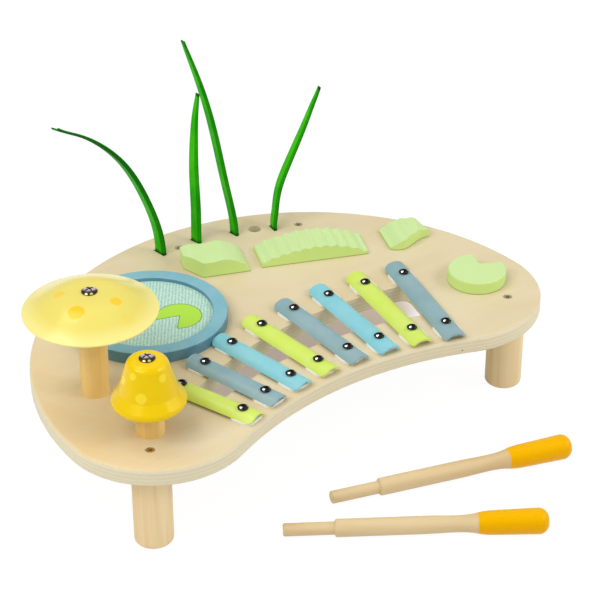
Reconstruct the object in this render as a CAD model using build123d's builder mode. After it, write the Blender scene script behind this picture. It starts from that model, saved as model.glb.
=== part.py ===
from build123d import *

# Musical activity table for a small child: a bean-shaped board on four legs carries a
# xylophone, a drum, a cymbal and a bell on posts, four green blocks and four blades of
# grass. Two mallets lie on the floor in front of it.
#
# Frame: millimetres, +Z up, the floor is Z = 0. The origin is the centre of the front left
# leg's foot. +X runs to the front right leg, along the board, and +Y to the back.

import os
from math import atan2, cos, degrees, radians, sin, sqrt, tan

# ---------------------------------------------------------------- board
table_height = 82.0  # floor to the board's upper face
board_thickness = 14.5
board_edge_radius = 2.8
back_radius = 219.0  # the long convex back edge
lobe_radius = 75.0  # the two round ends
front_radius = 285.0  # the concave front edge
outline_offset = 37.0  # centre of the back edge's circle, behind the front legs' line

# ---------------------------------------------------------------- legs
leg_spacing = 350.0  # between the two front legs' axes
leg_diameter = 30.0
leg_foot_radius = 3.0
back_left_leg_place = (181.0, 228.0)
back_right_leg_place = (286.0, 198.5)
leg_screw_head_diameter = 7.0
leg_screw_head_height = 2.2
leg_screw_diameter = 4.0
leg_screw_depth = 28.0  # length inside the leg

# ---------------------------------------------------------------- screws in general
screw_sink = 0.6  # a countersunk head lies this far below the face
screw_hole_gap = 0.1  # radial gap between a wood screw and its hole
screw_tip_gap = 0.5  # between a screw's point and the end of its hole
recess_length_share = 0.56  # cross recess, in head diameters
recess_width_share = 0.13
recess_depth_share = 0.6  # in head heights
dome_foot_share = 0.25  # straight rim under a domed head, in head heights

# ---------------------------------------------------------------- mallet storage hole
mallet_hole_place = (250.7, 214.2)
mallet_hole_diameter = 11.0

# ---------------------------------------------------------------- xylophone
bar_count = 8
shortest_bar = 85.0
bar_length_step = 5.0
bar_width = 19.0
bar_thickness = 1.5
bar_height = 5.0  # of the arched bar, from its long edges to its crown
bar_corner_radius = 4.0
bar_end_distance = 13.8  # hole to end on the shortest bar
bar_end_distance_step = 0.81  # from bar to bar
bar_hole_diameter = 5.0
bar_free_play = 0.6  # how far a bar can rise before it meets its screw heads
bar_seat_gap = 0.1  # between a bar and its foam pads
near_screw_radius = 275.0  # arc through the near screws
near_screw_pitch = 29.086  # from screw to screw along that arc
screw_row_middle = (178.2, 11.8)  # the arc's farthest point from the front
bar_middle_angle = 91.4  # azimuth of the fan's middle
bar_angle_step = 4.75  # degrees from bar to bar

pad_thickness = 2.0
pad_width = 20.4
pad_inboard_length = 7.0  # from the screw towards the bar's middle
pad_outboard_length = 13.0  # from the screw towards the bar's end
pad_corner_radius = 6.0
pad_hole_gap = 0.5

bar_screw_head_diameter = 8.4
bar_screw_head_height = 2.2
bar_screw_diameter = 3.5
bar_screw_depth = 10.0  # length inside the board

slot_near_distance = 25.0  # from the near screws to the sound slot
slot_far_distance = 8.5  # from the sound slot to the far screws
slot_corner_radius = 8.0

# ---------------------------------------------------------------- drum
drum_place = (96.4, 145.6)
drum_diameter = 125.8
drum_opening_diameter = 102.0
drum_ring_height = 10.0
drum_edge_radius = 1.2
drum_head_thickness = 0.5
drum_head_depth = 3.5  # below the ring's upper face
drum_ledge_width = 4.3  # of the ledge that the head is clamped against
drum_hoop_gap = 0.1
sound_hole_diameter = 80.0
drum_screw_count = 4
drum_screw_first_angle = 45.0  # azimuth
drum_screw_depth = 5.5  # length inside the ring

# ---------------------------------------------------------------- cymbal
cymbal_place = (9.0, 88.0)
cymbal_diameter = 102.0
cymbal_rim_height = 72.5  # above the board
cymbal_rise = 15.0
cymbal_thickness = 1.0
cymbal_crown_diameter = 24.0  # flat middle around the screw
cymbal_rim_slope = 20.0  # degrees

# ---------------------------------------------------------------- bell
bell_place = (13.0, 19.0)
bell_lip_height = 25.3  # above the board
bell_height = 38.9
bell_lip_diameter = 56.3
bell_lip_roll = 4.0  # radius of the rolled lip
bell_lip_outer_angle = 37.0  # where the flare's outside meets the roll
bell_lip_inner_angle = 88.0  # where the flare's inside meets the roll
bell_lip_lowest_angle = -90.0
bell_waist_diameter = 44.9  # where the straight skirt ends and the flare begins
bell_waist_height = 12.9  # above the lip's underside
bell_shoulder_diameter = 32.2
bell_shoulder_drop = 4.9  # shoulder below the crown
bell_crown_diameter = 18.8  # flat middle around the screw
bell_thickness = 1.5

# ---------------------------------------------------------------- posts and their fittings
post_diameter = 22.0
post_edge_radius = 1.0
washer_diameter = 17.0
washer_thickness = 1.5
spin_play = 0.15  # above and below a cymbal or bell that turns on its screw
spin_clearance = 0.08  # radial, between the turning piece's hole and its screw
top_screw_head_diameter = 12.0
top_screw_head_height = 2.8
top_screw_diameter = 5.0
top_screw_depth = 20.0  # length inside the post
base_screw_head_diameter = 9.0
base_screw_head_height = 2.8
base_screw_diameter = 4.5
base_screw_depth = 18.0  # length inside the post

# ---------------------------------------------------------------- grass blades
blade_places = ((163.6, 230.6), (198.4, 227.7), (231.8, 218.5), (264.4, 205.9))
blade_slot_angles = (-84.0, -79.0, -84.0, -98.0)  # azimuths of the blades' width at the root
blade_widths = (13.2, 11.2, 10.0, 10.2)  # at the root
blade_tip_widths = (5.5, 3.4, 3.4, 3.4)
blade_thickness = 1.2
blade_fold_height_share = 0.13  # how far the fold stands out, in blade widths
blade_fold_share = 0.28  # the fold's place, from the middle of the width to the front edge
# Exponents: a blade's width falls slowly at first and faster near its tip.
blade_tapers = (3.0, 3.0, 5.0, 3.0)
blade_twists = (38.0, 0.0, 4.0, 0.0)  # degrees from root to tip
blade_twist_growth = 2.5  # exponent: most of the twist lies near the tip
blade_sections = 9
blade_root_depth = 9.0  # length in the board
blade_slot_gap = 0.3
# Centre lines above the board: reach square to the blade's width, to the left, and height.
blade_curves = (
    ((5.3, 32.2), (16.5, 62.1), (41.0, 104.8), (69.3, 132.3), (99.5, 152.0)),
    ((-0.5, 32.0), (0.4, 66.0), (-0.9, 96.3), (-3.7, 120.3), (-7.2, 137.4)),
    ((3.8, 27.3), (12.3, 65.3), (20.1, 102.1), (31.3, 144.0), (50.0, 196.7)),
    ((-1.6, 18.8), (-4.3, 36.0), (-10.2, 51.7), (-25.4, 82.3), (-45.3, 124.4)),
)

# ---------------------------------------------------------------- green blocks
hill_place = (157.3, 179.0)  # front left corner
hill_angle = -21.8  # azimuth of the front side
hill_length = 53.0
hill_depth = 33.0
hill_chamfer_front = 12.6
hill_chamfer_side = 18.5
# Top line from the left end to the right end: run, height.
hill_line = (
    (0.0, 12.6), (10.0, 14.3), (21.0, 13.4), (30.0, 14.6), (38.0, 13.0), (46.5, 8.6), (53.0, 1.2)
)

scraper_place = (217.2, 157.7)
scraper_angle = -22.8
scraper_length = 92.0
scraper_depth = 31.0
scraper_left_height = 5.0
scraper_crest_height = 14.0
scraper_crest_run = 50.0  # crest's distance from the left end
scraper_right_height = 3.4
scraper_groove_count = 10
scraper_groove_depth = 1.5
scraper_screw_inset = 27.0  # from each end

leaf_place = (321.5, 116.5)
leaf_angle = -21.5
leaf_length = 38.0
leaf_depth = 31.0
leaf_left_height = 2.5
leaf_crest_height = 10.8
leaf_crest_run = 21.0
leaf_right_height = 7.5
leaf_groove_count = 4
leaf_groove_depth = 0.9
leaf_bulge = (11.5, 3.2)  # the front side's forward bow: run, reach
leaf_cut = (28.8, 8.5)  # and its hollow: run, depth
leaf_right_start = 11.2  # where the right side begins, from the front line
leaf_right_taper = 5.0

lily_place = (347.2, 35.2)
lily_diameter = 48.0
lily_height = 11.0
lily_edge_radius = 1.6
lily_corner_radius = 1.5  # at the notch, seen from above
lily_notch_corner = (7.3, 5.3)  # from the disc's centre
lily_notch_left_angle = 65.7  # azimuths of the notch's two sides
lily_notch_right_angle = -28.9
lily_screw_offset = -6.0  # both ways from the disc's centre, away from the notch

block_screw_head_diameter = 7.0
block_screw_head_height = 2.2
block_screw_diameter = 3.5
block_screw_depth = 4.5  # length inside a block

# ---------------------------------------------------------------- mallets
mallet_places = ((77.9, -56.7), (131.0, -47.2))  # the thin ends
mallet_angles = (-35.5, -18.9)
mallet_length = 200.0
mallet_peg_length = 39.0
mallet_peg_diameter = 10.0
mallet_stick_diameter = 13.8
mallet_shoulder_chamfer = 1.0
mallet_neck_diameter = 12.8
mallet_neck_length = 40.0  # from the straight part's end to the head
mallet_neck_share = 0.6  # the thinnest place, in neck lengths
mallet_collar_diameter = 16.0  # where the bare stick meets the painted head
mallet_collar_slope = 14.0  # degrees, the same on the stick and on the head
mallet_head_length = 53.5
mallet_head_diameter = 20.0
mallet_swell_length = 13.5  # from the collar to the head's straight side
mallet_end_radius = 8.0
mallet_tenon_diameter = 9.0
mallet_tenon_length = 30.0
mallet_tenon_gap = 0.1

# ---------------------------------------------------------------- derived levels and places
board_bottom = table_height - board_thickness
outline_middle = leg_spacing / 2
lobe_offset = back_radius - lobe_radius
front_centre_y = outline_offset - sqrt((front_radius + lobe_radius) ** 2 - lobe_offset**2)
leg_places = ((0, 0), (leg_spacing, 0), back_left_leg_place, back_right_leg_place)
leg_names = ("front_left", "front_right", "back_left", "back_right")

bar_bottom = table_height + pad_thickness + bar_seat_gap
bar_screw_seat = bar_bottom + bar_height + bar_free_play
bar_screw_length = bar_screw_seat - table_height + bar_screw_depth

drum_ledge = table_height + drum_ring_height - drum_head_depth
drum_ledge_radius = drum_opening_diameter / 2 + drum_ledge_width
drum_screw_circle = (drum_diameter / 2 + drum_ledge_radius) / 2

cymbal_underside = table_height + cymbal_rim_height + cymbal_rise
cymbal_post_top = cymbal_underside - spin_play - washer_thickness
bell_lip = table_height + bell_lip_height
bell_underside = bell_lip + bell_height - bell_thickness
bell_post_top = bell_underside - spin_play - washer_thickness
spin_hole_radius = top_screw_diameter / 2 + spin_clearance


def heading(angle):
    """Unit vector at an azimuth in the floor plane."""
    return Vector(cos(radians(angle)), sin(radians(angle)))


def level(height, place, angle=0.0):
    """Horizontal plane at a height, its origin over a place and its X along an azimuth."""
    x, y = place
    return Plane(origin=(x, y, height), x_dir=heading(angle), z_dir=(0, 0, 1))


def from_beneath(place, height=board_bottom):
    """Plane that faces down, for screws and holes that go up from the board's underside."""
    x, y = place
    return Plane(origin=(x, y, height), x_dir=(1, 0, 0), z_dir=(0, 0, -1))


def turning_plane(seat):
    """Plane through another plane's Z axis, for profiles that are turned about that axis."""
    return Plane(origin=seat.origin, x_dir=seat.x_dir, z_dir=-seat.y_dir)


def turning_axis(seat):
    return Axis(seat.origin, seat.z_dir)


def save(piece, name):
    """Label a finished piece and write its STEP file."""
    piece.part.label = name
    export_step(piece.part, f"parts/{name}.step")


os.makedirs("parts", exist_ok=True)


# ================================================================ screws and their holes
def pan_screw(seat, head_diameter, head_height, diameter, length):
    """Domed screw down the Z axis of the plane in which the underside of its head lies."""
    with BuildPart() as screw:
        with BuildSketch(turning_plane(seat)):
            with BuildLine():
                core = Line((0, -length), (0, head_height))
                dome_foot = (head_diameter / 2, dome_foot_share * head_height)
                dome = TangentArc(core @ 1, dome_foot, tangent=(1, 0))
                Polyline(
                    dome @ 1,
                    (head_diameter / 2, 0),
                    (diameter / 2, 0),
                    (diameter / 2, diameter - length),
                    core @ 0,
                )
            make_face()
        revolve(axis=turning_axis(seat))
        with BuildSketch(seat.offset(head_height)):
            Rectangle(recess_length_share * head_diameter, recess_width_share * head_diameter)
            Rectangle(recess_width_share * head_diameter, recess_length_share * head_diameter)
        extrude(amount=-recess_depth_share * head_height, mode=Mode.SUBTRACT)
    return screw


def countersunk_screw(face, head_diameter, head_height, diameter, depth):
    """Flat screw through the board from one of its faces, to a depth beyond the board."""
    seat = face.offset(-screw_sink)
    length = board_thickness + depth - screw_sink
    with BuildPart() as screw:
        with BuildSketch(turning_plane(seat)):
            Polygon(
                (0, 0),
                (0, -length),
                (diameter / 2, diameter - length),
                (diameter / 2, -head_height),
                (head_diameter / 2, 0),
                align=None,
            )
        revolve(axis=turning_axis(seat))
        with BuildSketch(seat):
            Rectangle(recess_length_share * head_diameter, recess_width_share * head_diameter)
            Rectangle(recess_width_share * head_diameter, recess_length_share * head_diameter)
        extrude(amount=-recess_depth_share * head_height, mode=Mode.SUBTRACT)
    return screw


def countersink_angle(head_diameter, head_height, diameter):
    """Full cone angle of a countersunk head."""
    return 2 * degrees(atan2((head_diameter - diameter) / 2, head_height))


def countersink_radius(head_diameter, head_height, diameter):
    """Radius of a countersink at the face, for a head that lies a little below it."""
    slope = (head_diameter - diameter) / 2 / head_height
    return head_diameter / 2 + screw_hole_gap + screw_sink * slope


# ================================================================ xylophone layout
def near_screw_place(number):
    """Place of the near screw of a bar; bars count from 1 at the left."""
    spread = degrees(near_screw_pitch / near_screw_radius) * ((bar_count + 1) / 2 - number)
    along_arc = (heading(90 + spread) - heading(90)) * near_screw_radius
    return Vector(screw_row_middle) + along_arc


def bar_angle(number):
    """Azimuth of a bar, from its near to its far end."""
    return bar_middle_angle + bar_angle_step * ((bar_count + 1) / 2 - number)


def bar_length(number):
    return shortest_bar + bar_length_step * (number - 1)


def bar_hole_inset(number):
    """Distance from a bar's hole to its end."""
    return bar_end_distance + bar_end_distance_step * (number - 1)


def far_screw_place(number):
    spacing = bar_length(number) - 2 * bar_hole_inset(number)
    return near_screw_place(number) + heading(bar_angle(number)) * spacing


def bar_plane(place, height, angle):
    return Plane(origin=(place.X, place.Y, height), x_dir=heading(angle), z_dir=(0, 0, 1))


bar_numbers = range(1, bar_count + 1)
middle_number = (bar_count + 1) / 2


# ================================================================ green block places
def block_plane(place, angle):
    """Plane on the board at a block's front left corner, its X along the front side."""
    return level(table_height, place, angle)


def place_in_block(place, angle, run, depth):
    """Place on the board that lies so far along and behind a block's front side."""
    point = block_plane(place, angle).from_local_coords((run, depth, 0))
    return (point.X, point.Y)


block_screw_places = {
    "hill": (place_in_block(hill_place, hill_angle, hill_length / 2, hill_depth / 2),),
    "scraper": (
        place_in_block(scraper_place, scraper_angle, scraper_screw_inset, scraper_depth / 2),
        place_in_block(
            scraper_place, scraper_angle, scraper_length - scraper_screw_inset, scraper_depth / 2
        ),
    ),
    "leaf": (place_in_block(leaf_place, leaf_angle, leaf_length / 2, leaf_depth / 2),),
    "lily": (place_in_block(lily_place, 0, lily_screw_offset, lily_screw_offset),),
}
all_block_screw_places = [place for places in block_screw_places.values() for place in places]
drum_screw_places = [
    (
        drum_place[0] + drum_screw_circle * cos(radians(drum_screw_first_angle + turn)),
        drum_place[1] + drum_screw_circle * sin(radians(drum_screw_first_angle + turn)),
    )
    for turn in (360 * number / drum_screw_count for number in range(drum_screw_count))
]
post_places = (cymbal_place, bell_place)


# ================================================================ tabletop
with BuildPart() as tabletop:
    # Bean outline: four arcs that run into each other.
    with BuildSketch(Plane.XY.offset(board_bottom)):
        with BuildLine():
            left_lobe = Vector(outline_middle - lobe_offset, outline_offset)
            right_lobe = Vector(outline_middle + lobe_offset, outline_offset)
            front_centre = Vector(outline_middle, front_centre_y)
            left_join = left_lobe + (front_centre - left_lobe).normalized() * lobe_radius
            right_join = right_lobe + (front_centre - right_lobe).normalized() * lobe_radius
            join_angle = degrees(atan2(front_centre_y - outline_offset, -lobe_offset))
            back = ThreePointArc(
                (outline_middle - back_radius, outline_offset),
                (outline_middle, outline_offset + back_radius),
                (outline_middle + back_radius, outline_offset),
            )
            ThreePointArc(back @ 1, right_lobe + heading(join_angle / 2) * lobe_radius, right_join)
            ThreePointArc(right_join, front_centre + Vector(0, front_radius), left_join)
            ThreePointArc(left_join, left_lobe + heading(180 - join_angle / 2) * lobe_radius, back @ 0)
        make_face()
    extrude(amount=board_thickness)
    fillet(tabletop.edges(), radius=board_edge_radius)

    # Sound slot under the bars.
    with BuildSketch(Plane.XY.offset(table_height)) as slot:
        with BuildLine():
            near_points = [
                near_screw_place(number) + heading(bar_angle(number)) * slot_near_distance
                for number in (1, middle_number, bar_count)
            ]
            far_points = [
                far_screw_place(number) - heading(bar_angle(number)) * slot_far_distance
                for number in (1, middle_number, bar_count)
            ]
            near_edge = ThreePointArc(*near_points)
            far_edge = ThreePointArc(*far_points)
            Line(near_edge @ 0, far_edge @ 0)
            Line(near_edge @ 1, far_edge @ 1)
        make_face()
        fillet(slot.vertices(), radius=slot_corner_radius)
    extrude(amount=-board_thickness, mode=Mode.SUBTRACT)

    # Sound hole under the drum and the mallet's storage hole.
    with Locations(level(table_height, drum_place)):
        Hole(radius=sound_hole_diameter / 2, depth=board_thickness)
    with Locations(level(table_height, mallet_hole_place)):
        Hole(radius=mallet_hole_diameter / 2, depth=board_thickness)

    # Slots for the grass blades' roots.
    for place, angle, width in zip(blade_places, blade_slot_angles, blade_widths):
        with BuildSketch(level(table_height, place, angle)):
            Rectangle(
                width + 2 * blade_slot_gap,
                blade_fold_height_share * width + blade_thickness + 2 * blade_slot_gap,
            )
        extrude(amount=-blade_root_depth - screw_tip_gap, mode=Mode.SUBTRACT)

    # Pilot holes for the bars' screws.
    bar_screw_places = [near_screw_place(number) for number in bar_numbers]
    bar_screw_places += [far_screw_place(number) for number in bar_numbers]
    with Locations(*[bar_plane(place, table_height, 0) for place in bar_screw_places]):
        Hole(radius=bar_screw_diameter / 2 + screw_hole_gap, depth=bar_screw_depth + screw_tip_gap)

    # Countersunk holes: leg screws from above, the others from beneath.
    with Locations(*[level(table_height, place) for place in leg_places]):
        CounterSinkHole(
            radius=leg_screw_diameter / 2 + screw_hole_gap,
            counter_sink_radius=countersink_radius(
                leg_screw_head_diameter, leg_screw_head_height, leg_screw_diameter
            ),
            depth=board_thickness,
            counter_sink_angle=countersink_angle(
                leg_screw_head_diameter, leg_screw_head_height, leg_screw_diameter
            ),
        )
    with Locations(*[from_beneath(place) for place in post_places]):
        CounterSinkHole(
            radius=base_screw_diameter / 2 + screw_hole_gap,
            counter_sink_radius=countersink_radius(
                base_screw_head_diameter, base_screw_head_height, base_screw_diameter
            ),
            depth=board_thickness,
            counter_sink_angle=countersink_angle(
                base_screw_head_diameter, base_screw_head_height, base_screw_diameter
            ),
        )
    with Locations(*[from_beneath(place) for place in all_block_screw_places + drum_screw_places]):
        CounterSinkHole(
            radius=block_screw_diameter / 2 + screw_hole_gap,
            counter_sink_radius=countersink_radius(
                block_screw_head_diameter, block_screw_head_height, block_screw_diameter
            ),
            depth=board_thickness,
            counter_sink_angle=countersink_angle(
                block_screw_head_diameter, block_screw_head_height, block_screw_diameter
            ),
        )
save(tabletop, "tabletop")


# ================================================================ legs
for name, place in zip(leg_names, leg_places):
    with BuildPart() as leg:
        with BuildSketch(level(0, place)):
            Circle(leg_diameter / 2)
        extrude(amount=board_bottom)
        fillet(leg.edges().group_by(Axis.Z)[0], radius=leg_foot_radius)
        with Locations(level(board_bottom, place)):
            Hole(radius=leg_screw_diameter / 2 + screw_hole_gap, depth=leg_screw_depth + screw_tip_gap)
    save(leg, f"leg_{name}")
    leg_screw = countersunk_screw(
        level(table_height, place),
        leg_screw_head_diameter,
        leg_screw_head_height,
        leg_screw_diameter,
        leg_screw_depth,
    )
    save(leg_screw, f"leg_screw_{name}")


# ================================================================ xylophone bars
def arched_bar(number):
    """Bar of gutter section, arched across, with a hole near each end."""
    length = bar_length(number)
    inset = bar_hole_inset(number)
    angle = bar_angle(number)
    near_hole = bar_plane(near_screw_place(number), bar_bottom, angle)
    far_hole = bar_plane(far_screw_place(number), bar_bottom, angle)
    near_end = Plane(
        origin=near_hole.from_local_coords((-inset, 0, 0)),
        x_dir=near_hole.y_dir,
        z_dir=near_hole.x_dir,
    )
    outer_radius = ((bar_width / 2) ** 2 + bar_height**2) / (2 * bar_height)
    inner_half_width = sqrt((outer_radius - bar_thickness) ** 2 - (outer_radius - bar_height) ** 2)
    with BuildPart() as bar:
        with BuildSketch(near_end):
            with BuildLine():
                outside = ThreePointArc((-bar_width / 2, 0), (0, bar_height), (bar_width / 2, 0))
                inside = ThreePointArc(
                    (-inner_half_width, 0), (0, bar_height - bar_thickness), (inner_half_width, 0)
                )
                Line(outside @ 0, inside @ 0)
                Line(outside @ 1, inside @ 1)
            make_face()
        extrude(amount=length)
        with BuildSketch(near_hole):
            with Locations((length / 2 - inset, 0)):
                RectangleRounded(length, bar_width, bar_corner_radius)
        extrude(amount=bar_height, mode=Mode.INTERSECT)
        with Locations(near_hole.offset(bar_height), far_hole.offset(bar_height)):
            Hole(radius=bar_hole_diameter / 2, depth=bar_height)
    return bar


def foam_pad(place, angle):
    """Pad round a screw; its long part points along an azimuth, to the bar's end."""
    seat = bar_plane(place, table_height, angle)
    with BuildPart() as pad:
        with BuildSketch(seat):
            with Locations(((pad_outboard_length - pad_inboard_length) / 2, 0)):
                RectangleRounded(
                    pad_outboard_length + pad_inboard_length, pad_width, pad_corner_radius
                )
            Circle(bar_screw_diameter / 2 + pad_hole_gap, mode=Mode.SUBTRACT)
        extrude(amount=pad_thickness)
    return pad.part


def bar_screw(place, angle):
    return pan_screw(
        bar_plane(place, bar_screw_seat, angle),
        bar_screw_head_diameter,
        bar_screw_head_height,
        bar_screw_diameter,
        bar_screw_length,
    ).part


for number in bar_numbers:
    save(arched_bar(number), f"bar_{number}")

    pads = [
        foam_pad(near_screw_place(number), bar_angle(number) + 180),
        foam_pad(far_screw_place(number), bar_angle(number)),
    ]
    with BuildPart() as bar_pads:
        add(pads)
    save(bar_pads, f"bar_{number}_pads")

    screws = [
        bar_screw(near_screw_place(number), bar_angle(number)),
        bar_screw(far_screw_place(number), bar_angle(number)),
    ]
    with BuildPart() as bar_screws:
        add(screws)
    save(bar_screws, f"bar_{number}_screws")


# ================================================================ drum
with BuildPart() as drum_ring:
    with BuildSketch(level(table_height, drum_place)):
        Circle(drum_diameter / 2)
        Circle(drum_opening_diameter / 2, mode=Mode.SUBTRACT)
    extrude(amount=drum_ring_height)
    fillet(drum_ring.edges().group_by(Axis.Z)[-1], radius=drum_edge_radius)
    # Rebate for the drum head and its hoop, open at the bottom.
    with BuildSketch(level(table_height, drum_place)):
        Circle(drum_ledge_radius)
    extrude(amount=drum_ledge - table_height, mode=Mode.SUBTRACT)
    with Locations(*[from_beneath(place, table_height) for place in drum_screw_places]):
        Hole(radius=block_screw_diameter / 2 + screw_hole_gap, depth=drum_screw_depth + screw_tip_gap)
save(drum_ring, "drum_ring")

with BuildPart() as drum_head:
    with BuildSketch(level(drum_ledge, drum_place)):
        Circle(drum_ledge_radius - drum_hoop_gap)
    extrude(amount=-drum_head_thickness)
save(drum_head, "drum_head")

with BuildPart() as drum_hoop:
    with BuildSketch(level(table_height, drum_place)):
        Circle(drum_ledge_radius - drum_hoop_gap)
        Circle(drum_opening_diameter / 2, mode=Mode.SUBTRACT)
    extrude(amount=drum_ledge - drum_head_thickness - table_height)
save(drum_hoop, "drum_hoop")

single_drum_screws = [
    countersunk_screw(
        from_beneath(place),
        block_screw_head_diameter,
        block_screw_head_height,
        block_screw_diameter,
        drum_screw_depth,
    ).part
    for place in drum_screw_places
]
with BuildPart() as drum_screws:
    add(single_drum_screws)
save(drum_screws, "drum_screws")


# ================================================================ cymbal and bell
with BuildPart() as cymbal:
    cymbal_seat = level(cymbal_underside, cymbal_place)
    with BuildSketch(turning_plane(cymbal_seat)):
        with BuildLine():
            crown_radius = cymbal_crown_diameter / 2
            rim_direction = (cos(radians(cymbal_rim_slope)), -sin(radians(cymbal_rim_slope)))
            under_flat = Line((spin_hole_radius, 0), (crown_radius, 0))
            under_curve = Spline(
                (crown_radius, 0),
                (cymbal_diameter / 2, -cymbal_rise),
                tangents=((1, 0), rim_direction),
            )
            upper_flat = Line(
                (spin_hole_radius, cymbal_thickness), (crown_radius, cymbal_thickness)
            )
            upper_curve = Spline(
                (crown_radius, cymbal_thickness),
                (cymbal_diameter / 2, cymbal_thickness - cymbal_rise),
                tangents=((1, 0), rim_direction),
            )
            Line(under_flat @ 0, upper_flat @ 0)
            Line(under_curve @ 1, upper_curve @ 1)
        make_face()
    revolve(axis=turning_axis(cymbal_seat))
save(cymbal, "cymbal")

with BuildPart() as bell:
    bell_seat = level(bell_lip, bell_place)
    with BuildSketch(turning_plane(bell_seat)):
        with BuildLine():
            crown = bell_height
            crown_radius = bell_crown_diameter / 2
            shoulder_radius = bell_shoulder_diameter / 2
            shoulder = bell_height - bell_shoulder_drop
            waist_radius = bell_waist_diameter / 2
            roll_centre = Vector(bell_lip_diameter / 2 - bell_lip_roll, bell_lip_roll)
            outer_join = roll_centre + heading(bell_lip_outer_angle) * bell_lip_roll
            inner_join = roll_centre + heading(bell_lip_inner_angle) * bell_lip_roll
            outer_crown = Line((spin_hole_radius, crown), (crown_radius, crown))
            outer_shoulder = TangentArc(
                outer_crown @ 1, (shoulder_radius, shoulder), tangent=(1, 0)
            )
            Polyline(outer_shoulder @ 1, (waist_radius, bell_waist_height), outer_join)
            lip_lowest = roll_centre + heading(bell_lip_lowest_angle) * bell_lip_roll
            ThreePointArc(outer_join, lip_lowest, inner_join)
            inner_crown = Line(
                (spin_hole_radius, crown - bell_thickness), (crown_radius, crown - bell_thickness)
            )
            inner_shoulder = TangentArc(
                inner_crown @ 1, (shoulder_radius - bell_thickness, shoulder), tangent=(1, 0)
            )
            Polyline(
                inner_shoulder @ 1, (waist_radius - bell_thickness, bell_waist_height), inner_join
            )
            Line(inner_crown @ 0, outer_crown @ 0)
        make_face()
    revolve(axis=turning_axis(bell_seat))
save(bell, "bell")


def wooden_post(place, top):
    """Round post on the board, with a screw hole in each end."""
    with BuildPart() as post:
        with BuildSketch(level(table_height, place)):
            Circle(post_diameter / 2)
        extrude(amount=top - table_height)
        fillet(post.edges().group_by(Axis.Z)[-1], radius=post_edge_radius)
        with Locations(level(top, place)):
            Hole(radius=top_screw_diameter / 2 + screw_hole_gap, depth=top_screw_depth + screw_tip_gap)
        with Locations(from_beneath(place, table_height)):
            Hole(
                radius=base_screw_diameter / 2 + screw_hole_gap,
                depth=base_screw_depth + screw_tip_gap,
            )
    return post


def washer(place, top):
    """Washer on a post."""
    with BuildPart() as ring:
        with BuildSketch(level(top, place)):
            Circle(washer_diameter / 2)
            Circle(spin_hole_radius, mode=Mode.SUBTRACT)
        extrude(amount=washer_thickness)
    return ring


def top_screw(place, underside, thickness):
    """Screw on which a cymbal or bell turns; it leaves play above the piece."""
    grip = washer_thickness + thickness + 2 * spin_play
    return pan_screw(
        level(underside + thickness + spin_play, place),
        top_screw_head_diameter,
        top_screw_head_height,
        top_screw_diameter,
        grip + top_screw_depth,
    )


for name, place, top, underside, thickness in (
    ("cymbal", cymbal_place, cymbal_post_top, cymbal_underside, cymbal_thickness),
    ("bell", bell_place, bell_post_top, bell_underside, bell_thickness),
):
    save(wooden_post(place, top), f"{name}_post")
    save(washer(place, top), f"{name}_washer")
    save(top_screw(place, underside, thickness), f"{name}_screw")
    base_screw = countersunk_screw(
        from_beneath(place),
        base_screw_head_diameter,
        base_screw_head_height,
        base_screw_diameter,
        base_screw_depth,
    )
    save(base_screw, f"{name}_post_screw")


# ================================================================ grass blades
def folded_section(width):
    """Corners of a thin strip's section, folded along its length; the fold points to -Y."""
    fold_height = blade_fold_height_share * width
    back = (fold_height + blade_thickness) / 2
    fold = blade_fold_share * width
    return (
        (-width / 2, back),
        (fold, back - fold_height),
        (width / 2, back),
        (width / 2, back - blade_thickness),
        (fold, back - fold_height - blade_thickness),
        (-width / 2, back - blade_thickness),
    )


def grass_blade(place, slot_angle, root_width, tip_width, taper, twist, curve):
    """Folded blade with a straight root, lofted along a curve square to its root's width."""
    across = heading(slot_angle)
    x, y = place
    bend_plane = Plane(origin=(x, y, table_height), x_dir=heading(slot_angle - 90), z_dir=-across)
    points = [bend_plane.from_local_coords(point) for point in ((0, 0), *curve)]
    centre_line = Spline(*points, tangents=((0, 0, 1), points[-1] - points[-2]))
    with BuildPart() as blade:
        with BuildSketch(level(table_height, place, slot_angle)):
            Polygon(*folded_section(root_width), align=None)
        extrude(amount=-blade_root_depth)
        for step in range(blade_sections + 1):
            share = step / blade_sections
            width = root_width - (root_width - tip_width) * share**taper
            section = Plane(origin=centre_line @ share, x_dir=across, z_dir=centre_line % share)
            with BuildSketch(section.rotated((0, 0, twist * share**blade_twist_growth))):
                Polygon(*folded_section(width), align=None)
        loft()
    return blade


for index, sizes in enumerate(
    zip(
        blade_places,
        blade_slot_angles,
        blade_widths,
        blade_tip_widths,
        blade_tapers,
        blade_twists,
        blade_curves,
    )
):
    save(grass_blade(*sizes), f"grass_blade_{index + 1}")


# ================================================================ green blocks
def side_plane(place, angle):
    """Upright plane of a block's front side: X along it, Y up, facing the front."""
    x, y = place
    return Plane(origin=(x, y, table_height), x_dir=heading(angle), z_dir=heading(angle - 90))


def rippled_top(length, left, crest, crest_run, right, groove_count, groove_depth):
    """Points of a rippled hill line: grooves cut into two half parabolas that meet in a crest."""
    points = []
    for step in range(2 * groove_count + 1):
        run = length * step / (2 * groove_count)
        if run < crest_run:
            height = crest - (crest - left) * (1 - run / crest_run) ** 2
        else:
            height = crest - (crest - right) * ((run - crest_run) / (length - crest_run)) ** 2
        groove = groove_depth if step % 2 else 0
        points.append((run, height - groove))
    return points


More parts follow.
